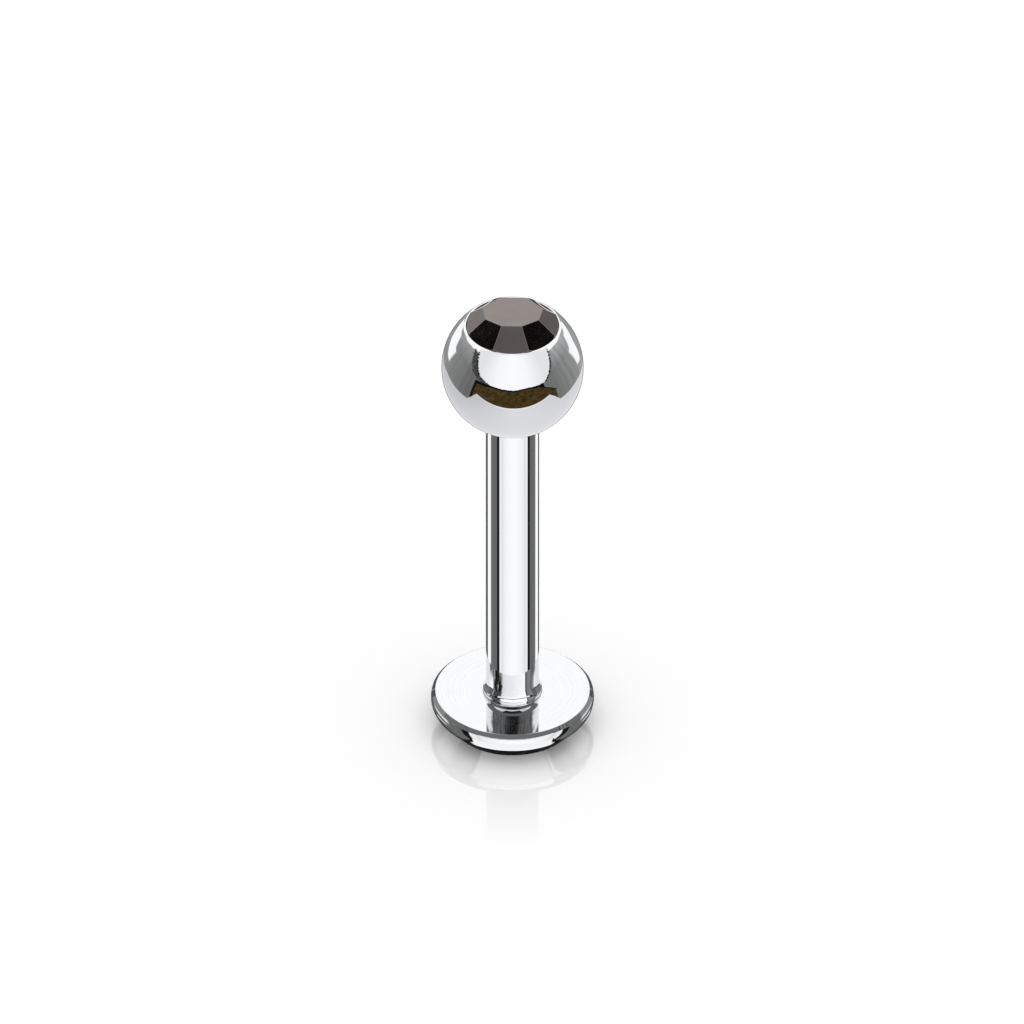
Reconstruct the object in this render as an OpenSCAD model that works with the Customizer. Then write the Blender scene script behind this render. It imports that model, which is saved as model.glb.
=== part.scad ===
// Labret stud: a post with a flat back disc, a screw-on ball and a cut stone set in the ball.
// Millimetres, +Z up along the post. The origin is the centre of the disc's underside, where it stands,
// and the front of the stone faces -Y.

/* [Post] */
// Diameter of the smooth post, 14 gauge
post_d = 1.6; // [1.2:0.05:2]
// Length of smooth post between the disc and the ball
wear_len = 10; // [5:0.5:16]
// Rounding of the shoulder that the ball seats on
shoulder_round = 0.03; // [0.02:0.005:0.05]

/* [Disc] */
// Widest diameter of the back disc
disc_d = 4.9; // [4:0.1:7]
// Thickness of the disc
disc_h = 1.1; // [0.8:0.05:1.5]
// Diameter of the flat foot under the disc
foot_d = 3.71; // [2.5:0.01:3.8]
// Radius of the round upper part of the side, which tapers straight to the foot below it
side_round = 0.5; // [0.4:0.05:0.7]
// Depth of the widest line of the side below the flat face
disc_widest_depth = 0.26; // [0.2:0.01:0.4]
// Width of the bevel round the flat face, seen from above
bevel_w = 0.105; // [0.05:0.005:0.2]
// Height of that bevel
bevel_h = 0.1; // [0.05:0.005:0.15]

/* [Weld collar] */
// How far the collar at the foot of the post stands out from it
collar_w = 0.085; // [0.06:0.005:0.15]
// Height of the collar's rounded edge
collar_h = 0.14; // [0.1:0.01:0.2]
// Height of the flare from the collar up to the post
flare_h = 0.3; // [0.15:0.01:0.5]

/* [Thread] */
// How far the thread's crest lies inside the surface of the post
thread_step = 0.07; // [0.06:0.005:0.1]
// Rise of the thread in one turn
thread_pitch = 0.35; // [0.3:0.01:0.4]
// Depth of the thread
thread_depth = 0.17; // [0.12:0.01:0.2]
// Length of the threaded end up to its domed tip
thread_len = 1.42; // [1.2:0.01:1.6]
// Height of the domed tip
tip_h = 0.43; // [0.3:0.01:0.5]

/* [Ball] */
// Diameter of the ball
ball_d = 4.25; // [4:0.05:6]
// How far the flat that seats on the post's shoulder reaches past the post
seat_margin = 0.15; // [0.05:0.01:0.25]
// Gap all round between the two threads
thread_gap = 0.015; // [0.01:0.005:0.03]
// Depth of the grooves of the thread in the ball
groove_depth = 0.1; // [0.05:0.01:0.15]
// Free depth of the hole past the tip of the post
hole_spare = 0.1; // [0.05:0.01:0.2]

/* [Stone and its cup] */
// Diameter of the cup that the stone sits in
cup_d = 2.78; // [2.4:0.02:3]
// Width of the flat lip round the cup
lip_w = 0.055; // [0.03:0.005:0.08]
// How far the stone's girdle lies below the lip
girdle_drop = 0.03; // [0:0.005:0.05]
// How far the cup and its stone lean to the front from square to the thread
cup_lean = 1.5; // [0:0.5:3]
// Gap all round between the stone and its cup
stone_gap = 0.015; // [0.01:0.005:0.03]
// Width of the octagonal table across its flats
table_w = 1.7; // [1.3:0.05:1.9]
// How far the table leans back from square to the cup, as it was cut
table_lean = 8; // [0:1:10]
// Slope of the crown facets from level
crown_angle = 41; // [35:1:45]
// Slope of the pavilion facets from level
pavilion_angle = 35; // [30:1:38]
// Thickness of the girdle where it is thinnest
girdle_h = 0.08; // [0.05:0.01:0.12]
// Width across the flats of the small flat under the stone
culet_w = 0.3; // [0.2:0.05:0.5]
// Turn of the stone about its axis
stone_turn = -2; // [-22:1:22]

/* [Hidden] */
$fn = 96;

// A cut runs this far past the outside of what it cuts, and a joined piece this far into the other
over = 1;

// The post
post_r = post_d / 2;
face_z = disc_h;
shoulder_z = face_z + wear_len;

// The disc: its side is an arc through the widest line, and a straight taper that leaves the arc
// smoothly and ends at the edge of the foot
disc_r = disc_d / 2;
foot_r = foot_d / 2;
widest_z = face_z - disc_widest_depth;
side_axis_r = disc_r - side_round;
crease_z = face_z - bevel_h;
crease_r = side_axis_r + sqrt(pow(side_round, 2) - pow(crease_z - widest_z, 2));
face_r = crease_r - bevel_w;
arc_away = norm([side_axis_r - foot_r, widest_z]);
taper_angle = atan2(widest_z, side_axis_r - foot_r) - asin(side_round / arc_away);
taper_len = sqrt(pow(arc_away, 2) - pow(side_round, 2));
taper_top = [foot_r + taper_len * cos(taper_angle), taper_len * sin(taper_angle)];

// The weld collar: its round edge is a little over half as large as the collar is high, so it meets
// the disc's face at an angle. The flare springs from that edge, 30 degrees from its top.
collar_r = post_r + collar_w;
collar_edge = 0.55 * collar_h;
collar_edge_z = collar_h - collar_edge;
spring_angle = 30;
flare_w = collar_w - collar_edge * (1 - sin(spring_angle));
flare_top_z = collar_edge_z + collar_edge * cos(spring_angle) + flare_h;
flare_r = (pow(flare_w, 2) + pow(flare_h, 2)) / (2 * flare_w);

// The thread: a ridge wound round the core of the post, and the like groove in the ball
ridge_steps = 24;
ridge_fade = 0.35;
ridge_root_w = 0.83 * thread_pitch;
ridge_crest_w = 0.14 * thread_pitch;
ridge_sunk = 0.18 * thread_depth;
ridge_rise = thread_len - thread_pitch;
thread_r = post_r - thread_step;
core_r = thread_r - thread_depth;
tip_r = (pow(core_r, 2) + pow(tip_h, 2)) / (2 * tip_h);

// The ball stands on the shoulder with a flat, which gives its height
ball_r = ball_d / 2;
seat_r = post_r + seat_margin;
ball_z = shoulder_z + sqrt(pow(ball_r, 2) - pow(seat_r, 2));
hole_r = thread_r + thread_gap;
hole_depth = thread_len + tip_h + hole_spare;
groove_lead = thread_pitch / 3;

// The stone, from the lip of its cup down
cup_r = cup_d / 2;
lip_r = cup_r + lip_w;
lip_top_z = ball_z + sqrt(pow(ball_r, 2) - pow(lip_r, 2));
stone_r = cup_r - stone_gap;
girdle_top_z = lip_top_z - girdle_drop;
girdle_low_z = girdle_top_z - girdle_h;
table_z = girdle_top_z + (stone_r - table_w / 2) * tan(crown_angle);
pavilion_h = (stone_r - culet_w / 2) * tan(pavilion_angle);
culet_z = girdle_low_z - pavilion_h;
facets = 8;
corner = 1 / cos(180 / facets);

// The cone under the stone follows the ridges between the pavilion's facets
ridge_slope = tan(pavilion_angle) / corner;
cup_floor_z = culet_z - 2 * stone_gap;
cup_floor_r = culet_w / 2 * corner;
cup_seat_z = cup_floor_z + (cup_r - cup_floor_r) * ridge_slope;

// The crown's facets run on above the table, up to this width, and the table is cut through them
uncut_w = table_w / 2;
uncut_top_z = table_z + (table_w - uncut_w) / 2 * tan(crown_angle);

steel = [0.78, 0.79, 0.80];
dark_stone = [0.22, 0.20, 0.20];

// How much of its full height the thread's ridge has: it fades in and out at its ends
function ridge_share(turn, turns) =
    max(0.04, min(1, turn / ridge_fade, (turns - turn) / ridge_fade));

// One section of the ridge: two points sunk in the surface it winds round, and two at its crest
function ridge_section(turn, turns, base_r, depth) =
    let (
        share = ridge_share(turn, turns),
        root = ridge_root_w / 2,
        crest = root + (ridge_crest_w / 2 - root) * share,
        in_r = base_r - ridge_sunk,
        out_r = base_r + depth * share,
        mid_z = turn * thread_pitch,
        angle = turn * 360
    )
    [
        for (p = [[in_r, -root], [out_r, -crest], [out_r, crest], [in_r, root]])
            [p[0] * cos(angle), p[0] * sin(angle), mid_z + p[1]]
    ];

// The ridge wound upwards round the Z axis, as a closed band through all of its sections
module wound_ridge(base_r, depth) {
    turns = ridge_rise / thread_pitch;
    steps = ceil(turns * ridge_steps);
    points = [
        for (i = [0:steps]) each ridge_section(turns * i / steps, turns, base_r, depth)
    ];
    sides = [
        for (i = [0:steps - 1]) for (k = [0:3])
            let (a = 4 * i + k, b = 4 * i + (k + 1) % 4)
            each [[a, b, a + 4], [b, b + 4, a + 4]]
    ];
    last = 4 * steps;
    ends = [[3, 2, 1, 0], [last, last + 1, last + 2, last + 3]];
    polyhedron(points = points, faces = concat(sides, ends), convexity = 8);
}

// Half section of the disc: flat foot, tapered side that is round above, bevel and flat face
module disc_section() {
    intersection() {
        union() {
            polygon([
                [0, 0],
                [foot_r, 0],
                taper_top,
                [side_axis_r, widest_z],
                [side_axis_r, face_z],
                [0, face_z]
            ]);
            translate([side_axis_r, widest_z]) circle(r = side_round);
        }
        polygon([
            [0, 0],
            [disc_d, 0],
            [disc_d, crease_z - bevel_h / 2],
            [crease_r + bevel_w / 2, crease_z - bevel_h / 2],
            [face_r, face_z],
            [0, face_z]
        ]);
    }
}

// Half section of the weld collar: its rounded edge, and the flare that runs up into the post
module collar_section() {
    square([collar_r - collar_edge, collar_h]);
    intersection() {
        translate([collar_r - collar_edge, collar_edge_z]) circle(r = collar_edge);
        square([collar_r, collar_h]);
    }
    difference() {
        translate([0, collar_edge_z]) square([post_r + flare_w, flare_top_z - collar_edge_z]);
        translate([post_r + flare_r, flare_top_z]) circle(r = flare_r);
    }
}

// Half section of the rounded shoulder at the top of the smooth post
module shoulder_section() {
    square([post_r - shoulder_round, shoulder_round]);
    intersection() {
        translate([post_r - shoulder_round, 0]) circle(r = shoulder_round);
        square([post_r, shoulder_round]);
    }
}

// Half section of the thread's core with its domed tip
module core_section() {
    translate([0, -over]) square([core_r, over + thread_len]);
    intersection() {
        translate([0, thread_len + tip_h - tip_r]) circle(r = tip_r);
        square([core_r, thread_len + tip_h]);
    }
}

// The end of the post that screws into the ball
module threaded_end() {
    rotate_extrude() core_section();
    translate([0, 0, thread_pitch / 2]) wound_ridge(core_r, thread_depth);
}

module post_and_disc() {
    color(steel) union() {
        rotate_extrude() disc_section();
        translate([0, 0, face_z]) rotate_extrude() collar_section();
        cylinder(r = post_r, h = shoulder_z - shoulder_round);
        translate([0, 0, shoulder_z - shoulder_round]) rotate_extrude() shoulder_section();
        translate([0, 0, shoulder_z]) threaded_end();
    }
}

// The hole that the threaded end screws into, cut upwards from the shoulder's height
module threaded_hole() {
    translate([0, 0, -over]) cylinder(r = hole_r, h = over + hole_depth);
    translate([0, 0, groove_lead + thread_pitch / 2]) wound_ridge(hole_r, groove_depth);
}

// The cup with its flat lip, and the cone under the stone
module cup() {
    open_z = ball_z + ball_r + over;
    rotate_extrude() polygon([
        [0, cup_floor_z],
        [cup_floor_r, cup_floor_z],
        [cup_r, cup_seat_z],
        [cup_r, lip_top_z],
        [lip_r, lip_top_z],
        [lip_r, open_z],
        [0, open_z]
    ]);
}

// Leans the cup or the stone about the centre of the ball, so that the lip stays round on it
module leant() {
    translate([0, 0, ball_z]) rotate([cup_lean, 0, 0]) translate([0, 0, -ball_z]) children();
}

module ball() {
    color(steel) difference() {
        translate([0, 0, ball_z]) sphere(r = ball_r);
        translate([0, 0, shoulder_z - over]) cylinder(r = ball_r, h = over);
        translate([0, 0, shoulder_z]) threaded_hole();
        leant() cup();
    }
}

// A closed form of flat facets round the Z axis, with a flat side towards -Y. Each ring
// is half the width across its flats and its height, from the lowest ring up.
module cut_form(rings) {
    top = facets * (len(rings) - 1);
    points = [
        for (ring = rings) for (k = [0:facets - 1])
            let (angle = (k + 0.5) * 360 / facets, r = ring[0] * corner)
            [r * cos(angle), r * sin(angle), ring[1]]
    ];
    sides = [
        for (i = [0:len(rings) - 2]) for (k = [0:facets - 1])
            let (a = facets * i + k, b = facets * i + (k + 1) % facets)
            [a, a + facets, b + facets, b]
    ];
    low_face = [for (k = [0:facets - 1]) k];
    high_face = [for (k = [0:facets - 1]) top + facets - 1 - k];
    polyhedron(points = points, faces = concat(sides, [low_face, high_face]));
}

// The space under the plane of the table, whose front is its higher side
module under_table() {
    translate([0, 0, table_z]) rotate([-table_lean, 0, 0])
        translate([-cup_d, -cup_d, -cup_d]) cube([2 * cup_d, 2 * cup_d, cup_d]);
}

module stone() {
    color(dark_stone) leant() intersection() {
        translate([0, 0, culet_z - over]) cylinder(r = stone_r, h = uncut_top_z - culet_z + 2 * over);
        rotate([0, 0, stone_turn]) cut_form([
            [culet_w / 2, culet_z],
            [stone_r, girdle_low_z],
            [stone_r, girdle_top_z],
            [uncut_w / 2, uncut_top_z]
        ]);
        under_table();
    }
}

post_and_disc();
ball();
stone();
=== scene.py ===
"""Looks of the labret stud: polished steel post, disc and ball, a dark cut stone, and a white studio.

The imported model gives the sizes; every length here is in metres, with +Z up along the post and the
front of the stone towards -Y.
"""

import math

import bmesh
import bpy
from mathutils import Matrix, Vector


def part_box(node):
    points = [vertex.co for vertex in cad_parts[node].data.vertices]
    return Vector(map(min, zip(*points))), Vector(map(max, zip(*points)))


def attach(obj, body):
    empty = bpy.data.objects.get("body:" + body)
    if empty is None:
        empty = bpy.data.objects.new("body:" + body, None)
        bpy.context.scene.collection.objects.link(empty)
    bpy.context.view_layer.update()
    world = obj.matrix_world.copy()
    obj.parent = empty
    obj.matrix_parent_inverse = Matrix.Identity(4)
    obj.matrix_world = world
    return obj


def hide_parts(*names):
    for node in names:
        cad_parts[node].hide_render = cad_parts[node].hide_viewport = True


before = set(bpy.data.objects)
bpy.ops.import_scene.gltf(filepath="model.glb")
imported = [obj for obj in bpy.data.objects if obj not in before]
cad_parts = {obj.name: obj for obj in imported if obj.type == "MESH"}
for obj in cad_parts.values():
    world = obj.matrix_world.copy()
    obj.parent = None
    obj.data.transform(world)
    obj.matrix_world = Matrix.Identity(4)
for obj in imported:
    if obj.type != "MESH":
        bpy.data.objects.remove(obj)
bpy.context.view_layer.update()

MM = 0.001
SEGMENTS = 192

# Sizes that the boxes of the nodes give
post_low, post_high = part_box("post_and_disc")
ball_low, ball_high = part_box("ball")
stone_low, stone_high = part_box("stone")
disc_r = (post_high.x - post_low.x) / 2
tip_z = post_high.z
shoulder_z = ball_low.z
ball_r = (ball_high.x - ball_low.x) / 2
stone_r = (stone_high.x - stone_low.x) / 2

# The post, and how far its sharp edges are rounded
post_r = 0.8 * MM
post_edge = 0.02 * MM

# The disc
disc_h = 1.1 * MM
foot_r = 1.855 * MM
side_round = 0.5 * MM
widest_depth = 0.26 * MM
bevel_w = 0.105 * MM
bevel_h = 0.1 * MM
face_z = disc_h
widest_z = face_z - widest_depth
crease_z = face_z - bevel_h
side_axis_r = disc_r - side_round
crease_r = side_axis_r + math.sqrt(side_round**2 - (crease_z - widest_z) ** 2)
arc_away = math.hypot(side_axis_r - foot_r, widest_z)
taper_angle = math.atan2(widest_z, side_axis_r - foot_r) - math.asin(side_round / arc_away)
face_r = crease_r - bevel_w

# The weld collar, and the flare that springs from its round edge
collar_w = 0.085 * MM
collar_r = post_r + collar_w
collar_h = 0.14 * MM
collar_edge = 0.03 * MM
collar_edge_r = collar_r - collar_edge
collar_edge_z = face_z + collar_h - collar_edge
spring_angle = math.radians(30)
flare_h = 0.3 * MM
flare_w = collar_w - collar_edge * (1 - math.sin(spring_angle))
flare_top_z = collar_edge_z + collar_edge * math.cos(spring_angle) + flare_h
flare_r = (flare_w**2 + flare_h**2) / (2 * flare_w)

# The thread
thread_step = 0.07 * MM
thread_r = post_r - thread_step
thread_depth = 0.17 * MM
core_r = thread_r - thread_depth
pitch = 0.35 * MM
thread_len = 1.42 * MM
ridge_turns = (thread_len - pitch) / pitch
ridge_root_w = 0.83 * pitch
ridge_crest_w = 0.14 * pitch
ridge_fade = 0.35
thread_row = pitch / 28
tip_h = tip_z - shoulder_z - thread_len
tip_r = (core_r**2 + tip_h**2) / (2 * tip_h)

# The ball, its threaded hole, and the cup with its flat lip, which leans a little to the front
seat_margin = 0.15 * MM
seat_r = post_r + seat_margin
ball_z = shoulder_z + math.sqrt(ball_r**2 - seat_r**2)
thread_gap = 0.015 * MM
hole_r = thread_r + thread_gap
hole_spare = 0.1 * MM
hole_top_z = tip_z + hole_spare
groove_depth = 0.1 * MM
groove_lead = pitch / 3
stone_gap = 0.015 * MM
cup_r = stone_r + stone_gap
lip_w = 0.055 * MM
lip_r = cup_r + lip_w
lip_top_z = ball_z + math.sqrt(ball_r**2 - lip_r**2)
cup_lean = math.radians(1.5)
lip_wear = 0.03 * MM
ball_edge = 0.03 * MM

# The stone. Its edges are worn, and its table leans back from square to the cup
facets = 8
corner = 1 / math.cos(math.pi / facets)
table_half = 0.85 * MM
table_lean = math.radians(8)
crown_slope = math.tan(math.radians(41))
pavilion_slope = math.tan(math.radians(35))
culet_half = 0.15 * MM
girdle_drop = 0.03 * MM
girdle_h = 0.08 * MM
girdle_top_z = lip_top_z - girdle_drop
girdle_low_z = girdle_top_z - girdle_h
table_z = girdle_top_z + (stone_r - table_half) * crown_slope
glue_gap = 0.003 * MM
glued_r = cup_r - glue_gap
stone_turn = math.radians(-2)
edge_wear = 0.006 * MM
culet_z = girdle_low_z - (stone_r - culet_half) * pavilion_slope
blank_spare = 0.3 * MM
blank_top_z = stone_high.z + blank_spare
cup_floor_z = culet_z - 2 * stone_gap
cup_floor_r = culet_half * corner
cup_seat_z = cup_floor_z + (cup_r - cup_floor_r) * pavilion_slope / corner

# The camera and the studio. Other views keep this lens and stand further off, so a much longer one
# would put the stud past their clipping distance
camera_height = math.radians(35.75)
camera_distance = 1.2
to_camera = Vector((0, -math.cos(camera_height), math.sin(camera_height)))
seen_width = 30.66 * MM
camera_target = Vector((-0.015, 0, 7.667)) * MM
overhead_power = 0.7
overhead_light = 1.55
floor_half = 1.0
card_half = 6.0
card_gap = 0.02 * MM
card_z = shoulder_z - card_gap
card_edge_height = -0.2
outline_half = ball_r / MM
outline_mid = (ball_z - card_z) / MM / math.tan(camera_height)

# How bright the card is that each facet of the crown mirrors, counted round from the right
facet_cards = {0: 0.47, 4: 0.8, 5: 0.02, 6: 0.49, 7: 0.02}
facet_card_size = 1.5

# Tones of the painted room, where 1 is white
bright = 1.3
strip_tone = 1.25
back_tone = 0.13
bevel_tone = 0.19
black_rim = 0.004

# Colours
steel_colour = (0.74, 0.745, 0.755, 1)
mark_colour = (0.6, 0.615, 0.64, 1)
gem_dark = (0.186, 0.162, 0.154, 1)
gem_light = (0.2, 0.177, 0.166, 1)
brown_dark = (0.04, 0.024, 0.007, 1)
brown_light = (0.1, 0.06, 0.018, 1)
dusty = (0.1, 0.085, 0.05, 1)
floor_colour = (0.9, 0.9, 0.9, 1)
cloud_size = 0.5 * MM


# Outlines: lists of (r, z) points, from axis to axis

def arc(centre_r, centre_z, radius, start, end, steps):
    """Points on an arc of the half section, with angles in degrees from the outward direction."""
    points = []
    for i in range(steps + 1):
        angle = math.radians(start + (end - start) * i / steps)
        points.append((centre_r + radius * math.cos(angle), centre_z + radius * math.sin(angle)))
    return points


def angle_on(centre_r, centre_z, r, z):
    """The direction in degrees from an arc's centre to a point."""
    return math.degrees(math.atan2(z - centre_z, r - centre_r))


def rounded(outline, radius, steps=5, sharpest=12):
    """Rounds each corner of an outline that turns more than sharpest degrees, with a support point
    on each side so that the shading of the flats beside it stays flat."""
    points = [Vector(outline[0])]
    for point in map(Vector, outline):
        if (point - points[-1]).length > radius / 1000:
            points.append(point)
    made = [points[0]]
    for before, here, after in zip(points, points[1:], points[2:]):
        came, goes = here - before, after - here
        turn = came.angle(goes)
        if math.degrees(turn) < sharpest:
            made.append(here)
            continue
        trim = min(radius * math.tan(turn / 2), 0.4 * came.length, 0.4 * goes.length)
        start, end = here - came.normalized() * trim, here + goes.normalized() * trim
        support = 0.2 * trim
        made.append(start - came.normalized() * support)
        for i in range(steps + 1):
            t = i / steps
            made.append(start * (1 - t) ** 2 + here * 2 * t * (1 - t) + end * t * t)
        made.append(end + goes.normalized() * support)
    made.append(points[-1])
    return [(p.x, p.y) for p in made]


def ridge(angle, z, first_z):
    """How much of its full height a thread's ridge has at this place, from 0 to 1."""
    turn = round((z - first_z) / pitch - angle / math.tau) + angle / math.tau
    if not 0 <= turn <= ridge_turns:
        return 0
    share = min(1, turn / ridge_fade, (ridge_turns - turn) / ridge_fade)
    away = abs(z - first_z - turn * pitch)
    flank = (ridge_root_w / 2 - away) / (ridge_root_w / 2 - ridge_crest_w / 2)
    flank = max(0, min(1, flank))
    return share * flank * flank * (3 - 2 * flank)


def turned(name, outline, swell=None):
    """A closed mesh turned from an outline that starts and ends on the axis. swell gives how far a
    point of the surface stands out from the outline, from its angle, radius and height."""
    rings = outline[1:-1]
    points = [(0, 0, outline[0][1]), (0, 0, outline[-1][1])]
    for r, z in rings:
        for k in range(SEGMENTS):
            angle = math.tau * k / SEGMENTS
            out = r + (swell(angle, r, z) if swell else 0)
            points.append((out * math.cos(angle), out * math.sin(angle), z))
    faces = []
    last = 2 + (len(rings) - 1) * SEGMENTS
    for k in range(SEGMENTS):
        following = (k + 1) % SEGMENTS
        faces.append((0, 2 + following, 2 + k))
        faces.append((1, last + k, last + following))
        for i in range(len(rings) - 1):
            low, high = 2 + i * SEGMENTS, 2 + (i + 1) * SEGMENTS
            faces.append((low + k, low + following, high + following, high + k))
    mesh = bpy.data.meshes.new(name)
    mesh.from_pydata(points, [], faces)
    made = bmesh.new()
    made.from_mesh(mesh)
    bmesh.ops.recalc_face_normals(made, faces=made.faces)
    for face in made.faces:
        face.smooth = True
    made.to_mesh(mesh)
    made.free()
    return add_object(name, mesh)


def add_object(name, mesh):
    made = bpy.data.objects.new(name, mesh)
    bpy.context.scene.collection.objects.link(made)
    return made


def between(start, end, steps):
    """The points strictly between two heights, spaced evenly."""
    return [start + (end - start) * i / steps for i in range(1, steps)]


def make_post():
    """The disc, the collar, the post and its threaded end, as one piece of steel."""
    side_start = math.degrees(taper_angle) - 90
    side_end = angle_on(side_axis_r, widest_z, crease_r, crease_z)
    flare_start = angle_on(post_r + flare_r, flare_top_z, post_r + flare_w, flare_top_z - flare_h)
    outline = [(0, 0), (foot_r * 0.6, 0), (foot_r, 0)]
    outline += arc(side_axis_r, widest_z, side_round, side_start, side_end, 36)
    outline += [(face_r, face_z), (collar_r * 1.5, face_z), (collar_r, face_z)]
    outline += arc(collar_edge_r, collar_edge_z, collar_edge, 0, 60, 10)
    outline += arc(post_r + flare_r, flare_top_z, flare_r, flare_start % 360, 180, 14)
    outline += [(post_r, z) for z in between(flare_top_z, shoulder_z, 12)]
    outline += [(post_r, shoulder_z), (core_r, shoulder_z)]
    rows = round(thread_len / thread_row)
    outline += [(core_r, z) for z in between(shoulder_z, shoulder_z + thread_len, rows)]
    tip_start = angle_on(0, tip_z - tip_r, core_r, shoulder_z + thread_len)
    outline += arc(0, tip_z - tip_r, tip_r, tip_start, 90, 16)[:-1]
    outline.append((0, tip_z))

    def swell(angle, r, z):
        if abs(r - core_r) > core_r / 100 or z <= shoulder_z:
            return 0
        return thread_depth * ridge(angle, z, shoulder_z + pitch / 2)

    return turned("steel_post", rounded(outline, post_edge), swell)


def make_ball():
    """The ball, with its seat, its threaded hole, and the cup for the stone."""
    rows = round((hole_top_z - shoulder_z) / thread_row)
    outline = [(0, hole_top_z), (hole_r, hole_top_z)]
    outline += [(hole_r, z) for z in between(hole_top_z, shoulder_z, rows)]
    outline += [(hole_r, shoulder_z)]
    low, high = angle_on(0, ball_z, seat_r, shoulder_z), angle_on(0, ball_z, lip_r, lip_top_z)
    worn = math.degrees(lip_wear / ball_r)
    outline += arc(0, ball_z, ball_r, low, high - worn, 110)
    outline += [(lip_r - 0.5 * lip_wear, lip_top_z), (cup_r, lip_top_z), (cup_r, cup_seat_z)]
    outline += [(cup_floor_r, cup_floor_z), (0, cup_floor_z)]

    def swell(angle, r, z):
        if abs(r - hole_r) > hole_r / 100 or z <= shoulder_z:
            return 0
        return groove_depth * ridge(angle, z, shoulder_z + groove_lead + pitch / 2)

    ball = turned("steel_ball", rounded(outline, ball_edge), swell)
    for vertex in ball.data.vertices:
        high = max(0, min(1, (vertex.co.z - ball_z) / (lip_top_z - ball_z)))
        in_cup = vertex.co.z > hole_top_z + hole_spare and vertex.co.xy.length < cup_r * 1.001
        vertex.co = leant(1 if in_cup else high) @ vertex.co
    return ball


def leant(share=1):
    """The lean of the cup and its stone about the centre of the ball, or a share of it."""
    centre = Matrix.Translation((0, 0, ball_z))
    return centre @ Matrix.Rotation(cup_lean * share, 4, "X") @ centre.inverted()


def make_stone():
    """The cut stone: a round blank cut by a plane for each facet, with its edges a little worn. It is
    glued, so it fills its cup. It is made in millimetres, because bevels that small fail in metres."""
    made = bmesh.new()
    bmesh.ops.create_cone(
        made, cap_ends=True, segments=256, radius1=glued_r / MM, radius2=glued_r / MM,
        depth=(blank_top_z - culet_z) / MM,
        matrix=Matrix.Translation((0, 0, (blank_top_z + culet_z) / 2 / MM)),
    )
    for z, slope, up in ((girdle_low_z, pavilion_slope, -1), (girdle_top_z, crown_slope, 1)):
        for k in range(facets):
            out = facet_out(k)
            at = out * stone_r + Vector((0, 0, z))
            cut_away(made, at / MM, (out * slope + Vector((0, 0, up))).normalized())
    table_normal = Vector((0, math.sin(table_lean), math.cos(table_lean)))
    cut_away(made, Vector((0, 0, table_z / MM)), table_normal)
    bmesh.ops.recalc_face_normals(made, faces=made.faces)
    sharp = [e for e in made.edges if e.calc_face_angle(0) > math.radians(15)]
    bmesh.ops.bevel(made, geom=sharp, offset=edge_wear / MM, segments=2, profile=0.5, affect="EDGES")
    bmesh.ops.scale(made, vec=Vector((MM, MM, MM)), verts=made.verts)
    bmesh.ops.transform(made, matrix=leant(), verts=made.verts)
    mesh = bpy.data.meshes.new("cut_stone")
    made.to_mesh(mesh)
    made.free()
    return add_object("cut_stone", mesh)


def facet_out(k):
    """The level direction that a facet faces, counted round from the right."""
    return Matrix.Rotation(stone_turn + math.tau * k / facets, 3, "Z") @ Vector((1, 0, 0))


def facet_mirrors(k):
    """The direction that a facet of the crown mirrors to the camera."""
    normal = (leant().to_3x3() @ (facet_out(k) * crown_slope + Vector((0, 0, 1)))).normalized()
    return 2 * to_camera.dot(normal) * normal - to_camera


def cut_away(made, at, normal):
    """Cuts off what lies outside a plane, and closes the cut."""
    cut = bmesh.ops.bisect_plane(
        made, geom=made.verts[:] + made.edges[:] + made.faces[:], dist=1e-6,
        plane_co=at, plane_no=normal, clear_outer=True,
    )
    edges = [e for e in cut["geom_cut"] if isinstance(e, bmesh.types.BMEdge)]
    if edges:
        bmesh.ops.edgeloop_fill(made, edges=edges)


# Materials

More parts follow.
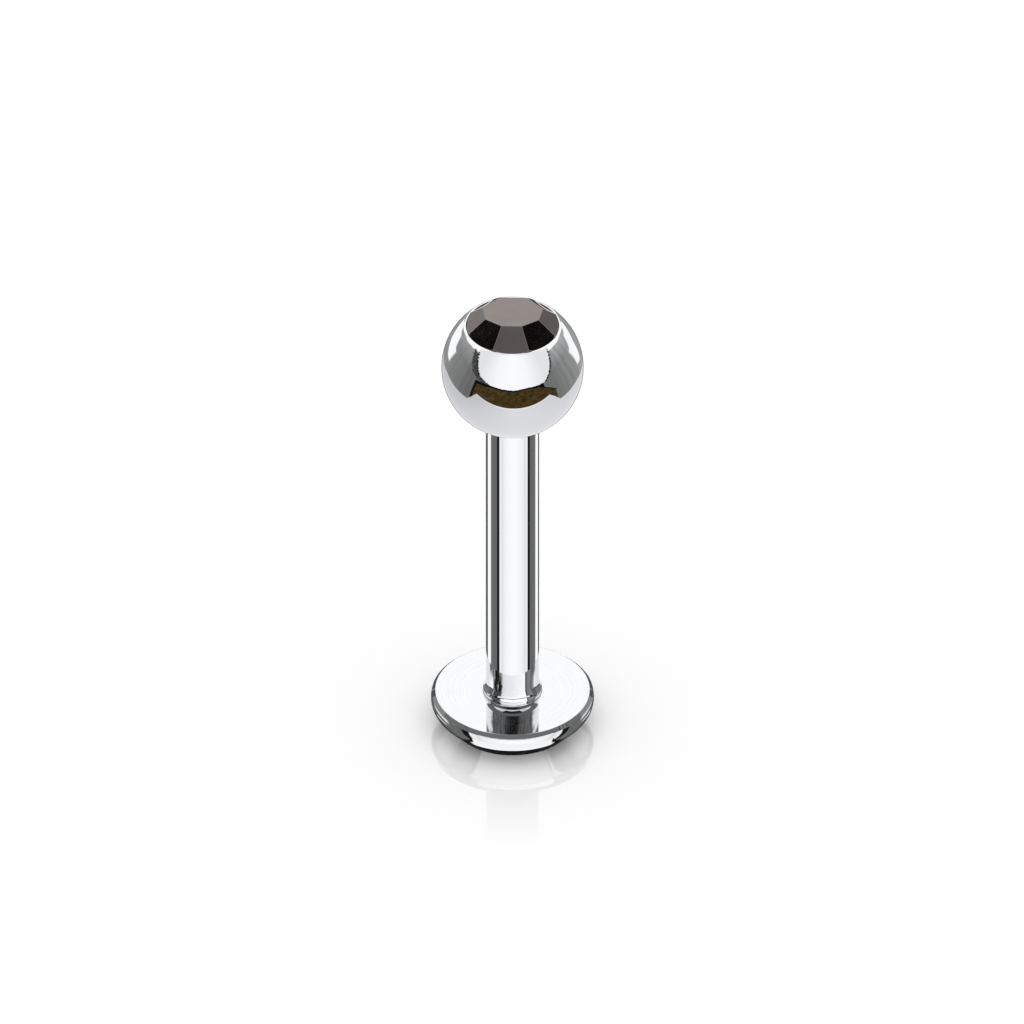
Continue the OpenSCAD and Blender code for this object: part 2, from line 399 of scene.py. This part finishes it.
class Nodes:
    """A small helper that adds nodes to a tree and joins them."""

    def __init__(self, tree):
        self.tree = tree

    def add(self, kind, **settings):
        node = self.tree.nodes.new("ShaderNode" + kind)
        for name, value in settings.items():
            setattr(node, name, value)
        return node

    def feed(self, socket, value):
        if isinstance(value, bpy.types.NodeSocket):
            self.tree.links.new(value, socket)
        else:
            socket.default_value = value

    def math(self, operation, *values):
        node = self.add("Math", operation=operation)
        for socket, value in zip(node.inputs, values):
            self.feed(socket, value)
        return node.outputs[0]

    def times(self, first, *others):
        for other in others:
            first = self.math("MULTIPLY", first, other)
        return first

    def above(self, value, edge, width):
        """0 below the edge and 1 above it, smoothly over the width."""
        node = self.add("MapRange", interpolation_type="SMOOTHSTEP")
        self.feed(node.inputs["Value"], value)
        self.feed(node.inputs["From Min"], self.math("SUBTRACT", edge, width / 2))
        self.feed(node.inputs["From Max"], self.math("ADD", edge, width / 2))
        return node.outputs["Result"]

    def below(self, value, edge, width):
        return self.math("SUBTRACT", 1, self.above(value, edge, width))

    def inside(self, value, low, high, width):
        """1 between two edges and 0 outside them."""
        return self.math("SUBTRACT", self.above(value, low, width), self.above(value, high, width))

    def ramp(self, value, *points):
        """Straight stretches through a few (value, result) points."""
        low, high = points[0][0], points[-1][0]
        results = [result for _, result in points]
        least, most = min(results), max(results)
        node = self.add("FloatCurve")
        curve = node.mapping.curves[0]
        for i, (x, y) in enumerate(points):
            at = ((x - low) / (high - low), (y - least) / (most - least))
            point = curve.points[i] if i < 2 else curve.points.new(*at)
            point.location = at
            point.handle_type = "VECTOR"
        node.mapping.update()
        self.feed(node.inputs["Value"], self.spread(value, low, high, 0, 1))
        return self.spread(node.outputs["Value"], 0, 1, least, most)

    def spread(self, value, low, high, to_low, to_high):
        """Maps one range to another, clamped at both ends."""
        node = self.add("MapRange")
        for name, number in (("Value", value), ("From Min", low), ("From Max", high),
                             ("To Min", to_low), ("To Max", to_high)):
            self.feed(node.inputs[name], number)
        return node.outputs["Result"]

    def noise(self, where, scale, detail=2.0, dimensions="3D"):
        node = self.add("TexNoise", noise_dimensions=dimensions)
        self.feed(node.inputs["W" if dimensions == "1D" else "Vector"], where)
        node.inputs["Scale"].default_value = scale
        node.inputs["Detail"].default_value = detail
        return node.outputs["Fac"]

    def colour(self, value):
        """A grey from a number, or from a socket that holds one."""
        if isinstance(value, (int, float)):
            return (value, value, value, 1)
        if isinstance(value, bpy.types.NodeSocket) and value.type == "VALUE":
            node = self.add("CombineColor")
            for socket in node.inputs:
                self.feed(socket, value)
            return node.outputs[0]
        return value

    def cover(self, under, share, over):
        """Paints over a colour where the share is 1."""
        node = self.add("Mix", data_type="RGBA")
        self.feed(node.inputs["Factor"], share)
        for name, value in (("A_Color", under), ("B_Color", over)):
            self.feed(next(s for s in node.inputs if s.identifier == name), self.colour(value))
        return next(s for s in node.outputs if s.identifier == "Result_Color")

    def tint(self, value, *shares):
        """A colour from a grey and its shares of red, green and blue."""
        node = self.add("CombineColor")
        for socket, share in zip(node.inputs, shares):
            self.feed(socket, self.math("MULTIPLY", value, share))
        return node.outputs[0]

    def square(self, value):
        return self.math("MULTIPLY", value, value)

    def place(self):
        """The place on the object in millimetres, and its distance from the post's axis."""
        node = self.add("SeparateXYZ")
        self.feed(node.inputs[0], self.add("TexCoord").outputs["Object"])
        x, y, z = (self.math("DIVIDE", socket, MM) for socket in node.outputs)
        return x, y, z, self.math("SQRT", self.math("ADD", self.square(x), self.square(y)))

    def spot(self, toward, centre, radius):
        """1 within a small angle of a direction, in degrees."""
        node = self.add("VectorMath", operation="DOT_PRODUCT")
        self.feed(node.inputs[0], toward)
        self.feed(node.inputs[1], centre)
        return self.math("GREATER_THAN", node.outputs["Value"], math.cos(math.radians(radius)))

    def bearing(self, x, y):
        """Degrees round from the front, -Y, to the right."""
        return self.times(self.math("ARCTAN2", x, self.math("MULTIPLY", y, -1)), math.degrees(1))


def new_material(name):
    material = bpy.data.materials.new(name)
    material.use_nodes = True
    nodes = Nodes(material.node_tree)
    shader = material.node_tree.nodes["Principled BSDF"]
    return material, nodes, shader


def steel():
    """Mirror-polished steel with faint haze, and fine turning marks on the disc's flat face."""
    material, n, shader = new_material("polished_steel")
    shader.inputs["Metallic"].default_value = 1
    _, _, z, r = n.place()
    haze = n.noise(n.add("TexCoord").outputs["Object"], 1 / cloud_size, 4)
    rings = n.noise(n.math("ADD", r, n.times(haze, 0.3)), 14, 5, "1D")
    level = n.inside(z, face_z / MM - 0.02, face_z / MM + 0.02, 0.01)
    face = n.times(level, n.below(r, face_r / MM, 0.02))
    marks = n.times(face, n.spread(rings, 0.45, 0.75, 0, 1), n.spread(haze, 0.4, 0.6, 0.2, 1))
    n.feed(shader.inputs["Base Color"], n.cover(steel_colour, n.times(marks, 0.5), mark_colour))
    gloss = n.spread(haze, 0.3, 0.7, 0.01, 0.05)
    n.feed(shader.inputs["Roughness"], n.math("ADD", gloss, n.times(marks, 0.06)))
    return material


def gem():
    """Opaque dark stone with a bright metallic gloss, a little uneven in tone."""
    material, n, shader = new_material("dark_stone")
    shader.inputs["Metallic"].default_value = 1
    cloud = n.noise(n.add("TexCoord").outputs["Object"], 1 / cloud_size, 5)
    n.feed(shader.inputs["Base Color"], n.cover(gem_dark, n.spread(cloud, 0.35, 0.65, 0, 1), gem_light))
    n.feed(shader.inputs["Roughness"], n.spread(cloud, 0.3, 0.7, 0.02, 0.05))
    return material


# The room that the steel mirrors. A bearing is in degrees round from the front, a height in degrees
# above level, and a radius on the card in millimetres from the post's axis.

def front_tone(n, side):
    """The white panel in front, brightest in its middle."""
    return n.ramp(side, (0, bright), (25, 1.25), (55, 1.02), (180, 1.02))


def wall_tone(n, bearing, height):
    """The grey walls beside the stud, which lighten towards the back and have faint upright bands."""
    wall = n.ramp(bearing, (-180, 0.36), (-150, 0.36), (-120, 0.34), (-90, 0.25), (-66, 0.18), (0, 0.18),
                  (66, 0.22), (90, 0.3), (105, 0.33), (120, 0.45), (150, 0.38), (180, 0.36))
    bands = n.spread(n.noise(bearing, 0.15, 3, "1D"), 0.3, 0.7, 0.9, 1.1)
    lift = n.spread(height, 8, 32, 1, 1.7)
    return n.times(wall, bands, lift)


def post_bands(n, side):
    """The bands that the post mirrors: a white front, a black gap, a grey wall, a white strip and a
    darker back."""
    paint = n.ramp(side, (0, bright), (25, 1.25), (45, 1.12), (50, 0.95), (55, 1.12), (180, 1.12))
    paint = n.cover(paint, n.above(side, 63.5, 3), 0.01)
    paint = n.cover(paint, n.above(side, 75.5, 3), n.ramp(side, (76, 0.17), (95, 0.18), (112, 0.22)))
    paint = n.cover(paint, n.above(side, 113, 6), strip_tone)
    return n.cover(paint, n.above(side, 139, 5), back_tone)


def foot_bands(n, bearing, r):
    """The bands that the foot of the post mirrors by way of the disc's face: they are uneven, with a
    mottled black one on the left and a grey one on the right."""
    seen = n.add("CombineXYZ")
    n.feed(seen.inputs[0], n.times(bearing, 0.1))
    n.feed(seen.inputs[1], n.times(r, 6))
    blots = n.spread(n.noise(seen.outputs[0], 1, 3), 0.56, 0.68, 0.01, 1)
    paint = n.ramp(bearing, (-60, 1.1), (-30, 1.35), (0, 1.5), (60, 1.75))
    wavy = n.times(n.math("SUBTRACT", n.noise(r, 5, 3, "1D"), 0.5), 30)
    left = n.math("ADD", bearing, wavy)
    paint = n.cover(paint, n.below(left, -45, 4), blots)
    paint = n.cover(paint, n.below(left, -84, 6), 1.7)
    paint = n.cover(paint, n.below(left, -138, 8), 0.5)
    paint = n.cover(paint, n.above(bearing, 55, 3), 0.04)
    paint = n.cover(paint, n.above(bearing, 60, 3), n.ramp(bearing, (60, 0.3), (98, 0.48)))
    paint = n.cover(paint, n.above(bearing, 102, 4), 1.5)
    return n.cover(paint, n.above(bearing, 120, 4), 0.45)


def seen_below(n, bearing, height):
    """What the post and the disc's side mirror below their horizon. The lens is the white patch low
    on the side, under its dark flank."""
    side = n.math("ABSOLUTE", n.math("SUBTRACT", bearing, 5))
    paint = post_bands(n, side)
    strip = n.inside(height, -37.3, -34, 1)
    off_strip = n.times(n.inside(side, 108, 150, 3), n.math("SUBTRACT", 1, strip))
    paint = n.cover(paint, off_strip, 0.14)
    paint = n.cover(paint, n.times(n.above(side, 146, 4), n.below(height, -38, 2)), 0.02)
    rim = n.times(n.above(height, -3, 1), n.below(side, 100, 8))
    paint = n.cover(paint, rim, 0.02)
    paint = n.cover(paint, n.times(n.above(height, -24, 3), n.inside(side, 100, 138, 8)), 0.9)
    paint = n.cover(paint, n.times(n.above(height, -24, 3), n.above(side, 138, 8)), 0.1)
    lens = n.ramp(n.math("ABSOLUTE", bearing), (0, -38), (60, -38), (67, -51), (80, -60), (94, -64.5),
                  (139, -65.5), (160, -59), (168, -56.5), (175, -60), (180, -61.5))
    under = n.below(height, -39, 1)
    paint = n.cover(paint, n.times(under, n.below(height, n.math("ADD", lens, 5), 2)), 0.01)
    return n.cover(paint, n.times(under, n.below(height, lens, 2)), 1.2)


def seen_above(n, toward, bearing, height):
    """What the ball and the stone mirror above their horizon: the white panel in front, the walls
    beside it, the light above them, and small cards that the stone's facets mirror."""
    side = n.math("ABSOLUTE", bearing)
    ragged = n.times(n.math("SUBTRACT", n.noise(height, 0.5, 5, "1D"), 0.5), 9)
    paint = wall_tone(n, bearing, height)
    strip = n.below(n.math("SUBTRACT", n.math("ADD", 121, n.times(height, 0.9)), side), 0, 3)
    strip_top = n.ramp(side, (118, 12), (140, 4), (180, 0))
    paint = n.cover(paint, n.times(strip, n.below(height, strip_top, 3)), strip_tone)
    light_edge = n.ramp(side, (0, 34), (78, 34), (98, 28), (125, 16), (180, 12))
    light_edge = n.math("ADD", light_edge, n.times(ragged, 0.15))
    paint = n.cover(paint, n.above(height, light_edge, 2), bright)
    middle = n.ramp(bearing, (-1, 47.5), (1, 54.5))
    edge = n.math("ADD", n.math("ADD", middle, n.times(height, 0.8)), ragged)
    low = n.ramp(height, (-2, -18), (0, -14), (3.3, -7.5), (8, 0), (60, 0))
    edge = n.math("ADD", edge, n.times(low, n.ramp(bearing, (-1, 1), (1, 0.3))))
    band_w = n.ramp(bearing, (-1, 16), (1, 4))
    grain = n.noise(toward, 22, 4)
    band = n.times(n.below(side, n.math("ADD", edge, band_w), 2), n.below(height, 33, 4))
    paint = n.cover(paint, band, n.spread(grain, 0.4, 0.62, 0.05, 0.12))
    paint = n.cover(paint, n.times(n.below(side, n.math("ADD", edge, 3), 1), n.below(height, 36, 3)), 0.005)
    paint = n.cover(paint, n.below(side, edge, 1.5), front_tone(n, side))
    for k, tone in facet_cards.items():
        paint = n.cover(paint, n.spot(toward, facet_mirrors(k), facet_card_size), tone)
    return paint


def studio():
    """The world: white to the camera, a soft light from above on the floor, and a painted room to the
    steel."""
    world = bpy.data.worlds.new("studio")
    bpy.context.scene.world = world
    world.use_nodes = True
    world.cycles.sampling_method = "NONE"
    n = Nodes(world.node_tree)
    toward = n.add("TexCoord").outputs["Generated"]
    direction = n.add("SeparateXYZ")
    n.feed(direction.inputs[0], toward)
    x, y, z = direction.outputs
    bearing = n.bearing(x, y)
    height = n.times(n.math("ARCSINE", z), math.degrees(1))
    above = seen_above(n, toward, bearing, height)
    room = n.cover(seen_below(n, bearing, height), n.above(height, card_edge_height, 0.05), above)
    rays = n.add("LightPath")
    soft = n.times(n.math("POWER", n.math("MAXIMUM", z, 0), overhead_power), overhead_light)
    direct = n.math("COMPARE", rays.outputs["Diffuse Depth"], 0, 0.5)
    light = n.cover(soft, n.times(rays.outputs["Is Glossy Ray"], direct), room)
    light = n.cover(light, rays.outputs["Is Camera Ray"], 1)
    n.feed(world.node_tree.nodes["Background"].inputs["Color"], light)


def card_top(n, x, y, r, bearing):
    """What the ball mirrors below its horizon: the pale sheet, the brown panel in front of it with
    its black rim, and the walls at the sides."""
    fall = n.times(n.math("ARCTAN2", 2.4, n.math("SUBTRACT", r, 2)), math.degrees(1))
    paint = wall_tone(n, bearing, 0)
    near = n.ramp(bearing, (-180, 40), (-152, 20), (-139, 12.4), (-125, 9.8), (-110, 10), (0, 10), (112, 8),
                  (126, 6.5), (130, 8.2), (137, 20), (150, 32), (180, 40))
    strip = n.times(n.above(n.math("ABSOLUTE", bearing), 115, 4), n.above(r, near, 0.8))
    paint = n.cover(paint, strip, strip_tone)
    seen = n.add("CombineXYZ")
    n.feed(seen.inputs[0], bearing)
    n.feed(seen.inputs[1], fall)
    grain = n.noise(seen.outputs[0], 0.16, 7)
    brown = n.cover(brown_dark, n.spread(grain, 0.35, 0.65, 0, 1), brown_light)
    dust = n.spread(n.noise(seen.outputs[0], 0.07, 5), 0.52, 0.7, 0, 0.7)
    brown = n.cover(brown, dust, dusty)
    wavy = n.times(n.math("SUBTRACT", n.noise(bearing, 0.22, 4, "1D"), 0.5), 3)
    rim = n.ramp(bearing, (-60, 5), (-47, 3.8), (-30, 3.4), (-15, 5), (0, 6.2), (21, 3.4), (40, 4.6),
                 (50, 10), (57, 15), (64, 21), (66, 21))
    rim = n.math("ADD", rim, n.times(wavy, 0.6))
    front_low = n.ramp(bearing, (-66, 0), (-31, 0.1), (-15, 1.9), (0, 3.1), (12, 1.8), (21, 0.7), (66, 0.8))
    front_low = n.math("ADD", front_low, n.times(wavy, 0.6))
    panel = n.times(n.inside(bearing, -57, 63, 1.5), n.above(fall, rim, 0.8))
    paint = n.cover(paint, panel, brown)
    paint = n.cover(paint, n.times(n.inside(bearing, -60, 49, 1.5), n.below(fall, rim, 0.8)), black_rim)
    black = n.times(n.inside(bearing, 48, 65, 1.5), n.inside(fall, n.math("SUBTRACT", rim, 2.2), rim, 1))
    paint = n.cover(paint, black, black_rim)
    paint = n.cover(paint, n.times(n.inside(bearing, -59.5, -56, 1), n.below(r, 40, 1)), 0.01)
    white = n.times(n.inside(bearing, -33, 44, 2), n.below(fall, front_low, 0.6))
    paint = n.cover(paint, white, front_tone(n, n.math("ABSOLUTE", bearing)))
    sheet_r = n.ramp(bearing, (-180, 5.2), (-125, 5.4), (-109, 5.9), (-85, 5.2), (-73, 4.9), (-62, 4.7),
                     (-56, 5.8), (-49, 8.3), (-44, 12), (44, 12), (50.6, 7.3), (61, 5.1), (66, 4.3),
                     (82, 4.5), (97, 4.8), (112, 4.8), (129, 4.5), (180, 5.2))
    front = n.math("ADD", y, n.math("SUBTRACT", 4.75, n.times(x, 0.05)))
    sheet = n.times(n.above(front, 0, 0.08), n.below(r, sheet_r, 0.12))
    tone = n.times(n.spread(x, -4, 4, 0.84, 1), n.ramp(n.math("ABSOLUTE", x), (0, 1.03), (4, 0.86)))
    tone = n.math("ADD", tone, n.spread(front, 0, 0.35, 0.3, 0))
    paint = n.cover(paint, sheet, n.tint(tone, 0.995, 0.995, 1.02))
    # A dark ring on the card, where the ball's rim mirrors it to the camera: a painted dark outline round
    # the ball
    along = n.math("DIVIDE", n.math("SUBTRACT", y, outline_mid), outline_half / math.sin(camera_height))
    ring = n.square(n.math("DIVIDE", x, outline_half))
    ring = n.math("SQRT", n.math("ADD", ring, n.square(along)))
    width = n.math("ADD", 0.03, n.times(n.math("ADD", along, 1), 0.4))
    return n.cover(paint, n.inside(ring, 0.97, n.math("ADD", 1, width), 0.03), 0.06)


def card_underside(n, r, bearing):
    """What the disc's face, its bevel and the foot of the post mirror above them: grey for the bevel, a
    dark patch for the image of the post in the face, the post's own bands for its foot, and white
    behind."""
    collar_r_seen = 7.2
    image_low, image_high = 12.4, 14.9
    bevel_low, foot_high = 15.65, 17.2
    where = n.add("TexCoord").outputs["Object"]
    ragged = n.times(n.math("SUBTRACT", n.noise(r, 5, 4, "1D"), 0.5), 90)
    side = n.math("ABSOLUTE", n.math("ADD", bearing, ragged))
    mottled = n.noise(where, 1 / (0.45 * MM), 5)
    paint = bevel_tone
    dark = n.ramp(side, (0, 0.02), (22, 0.03), (34, 0.2), (98, 0.24))
    dark = n.times(dark, n.spread(mottled, 0.4, 0.58, 0.3, 1.3))
    behind = n.math("ABSOLUTE", bearing)
    paint = n.cover(paint, n.times(n.below(r, collar_r_seen, 0.2), n.below(behind, 50, 4)), 0.03)
    image = n.inside(r, image_low, image_high, 0.05)
    paint = n.cover(paint, image, dark)
    beside = n.times(n.above(side, 98, 4), n.above(behind, 94, 2))
    paint = n.cover(paint, n.times(image, beside), bright)
    paint = n.cover(paint, n.above(r, image_high, 0.05), foot_bands(n, bearing, r))
    paint = n.cover(paint, n.times(n.above(r, bevel_low, 0.1), n.above(behind, 84, 3)), bevel_tone)
    across = n.inside(behind, 81, 89, 1)
    paint = n.cover(paint, n.times(n.inside(r, 14.8, 15.7, 0.1), across), bevel_tone)
    paint = n.cover(paint, n.times(n.inside(r, image_high, foot_high, 0.2), n.above(behind, 113, 3)), bright)
    paint = n.cover(paint, n.times(n.above(r, 21, 1), n.above(behind, 105, 3)), 0.3)
    paint = n.cover(paint, n.above(behind, 150, 3), bright)
    return n.cover(paint, n.times(n.above(r, 80, 5), n.above(behind, 120, 3)), 0.1)


def make_card():
    """A painted card just under the ball that only mirrored rays see: it parts what the ball sees
    from what the post and the disc see. Its underside is clear near the post."""
    card = make_square("card", card_half, card_z)
    for ray in ("camera", "diffuse", "transmission", "volume_scatter", "shadow"):
        setattr(card, "visible_" + ray, False)
    material, n, _ = new_material("painted_card")
    material.cycles.emission_sampling = "NONE"
    x, y, _, r = n.place()
    bearing = n.bearing(x, y)
    behind = n.add("NewGeometry").outputs["Backfacing"]
    paint = n.add("Emission")
    top, underside = card_top(n, x, y, r, bearing), card_underside(n, r, bearing)
    n.feed(paint.inputs["Color"], n.cover(top, behind, underside))
    clear = n.add("MixShader")
    indirect = n.math("GREATER_THAN", n.add("LightPath").outputs["Diffuse Depth"], 0.5)
    hole_r = n.ramp(n.math("ABSOLUTE", bearing), (0, 3), (50, 3), (56, 6), (180, 6))
    n.feed(clear.inputs[0], n.math("MAXIMUM", indirect, n.times(behind, n.below(r, hole_r, 0.5))))
    n.feed(clear.inputs[1], paint.outputs[0])
    n.feed(clear.inputs[2], n.add("BsdfTransparent").outputs[0])
    n.feed(material.node_tree.nodes["Material Output"].inputs["Surface"], clear.outputs[0])
    card.data.materials.append(material)


def make_square(name, half, z):
    mesh = bpy.data.meshes.new(name)
    corners = [(-half, -half, z), (half, -half, z), (half, half, z), (-half, half, z)]
    mesh.from_pydata(corners, [], [(0, 1, 2, 3)])
    return add_object(name, mesh)


def make_floor():
    """The pale floor, with a faint mirror image close to the stud. The steel doesn't mirror it,
    because the room that it mirrors is painted."""
    floor = make_square("floor", floor_half, 0)
    floor.visible_glossy = False
    material, n, shader = new_material("pale_floor")
    shader.inputs["Base Color"].default_value = floor_colour
    shader.inputs["Specular IOR Level"].default_value = 0
    shader.inputs["Roughness"].default_value = 1
    _, _, _, r = n.place()
    gloss = n.add("BsdfAnisotropic")
    gloss.inputs["Roughness"].default_value = 0.03
    both = n.add("MixShader")
    n.feed(both.inputs[0], n.ramp(r, (0, 0.16), (3, 0.16), (6.5, 0), (7, 0)))
    n.feed(both.inputs[1], shader.outputs[0])
    n.feed(both.inputs[2], gloss.outputs[0])
    n.feed(material.node_tree.nodes["Material Output"].inputs["Surface"], both.outputs[0])
    floor.data.materials.append(material)


def make_camera():
    """A long lens at the height of the photograph's view."""
    camera = bpy.data.objects.new("camera", bpy.data.cameras.new("camera"))
    bpy.context.scene.collection.objects.link(camera)
    bpy.context.scene.camera = camera
    camera.location = camera_target + to_camera * camera_distance
    camera.rotation_euler = (-to_camera).to_track_quat("-Z", "Y").to_euler()
    camera.data.lens = camera_distance * camera.data.sensor_width / seen_width
    camera.data.clip_start = 0.01
    camera.data.clip_end = 10


make_camera()
studio()
make_card()
make_floor()

metal = steel()
post = make_post()
post.data.materials.append(metal)
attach(post, "post_body")
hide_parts("post_and_disc")

ball = make_ball()
ball.data.materials.append(metal)
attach(ball, "ball_body")
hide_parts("ball")

stone = make_stone()
stone.data.materials.append(gem())
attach(stone, "ball_body")
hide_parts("stone")

bpy.context.scene.view_settings.view_transform = "Standard"
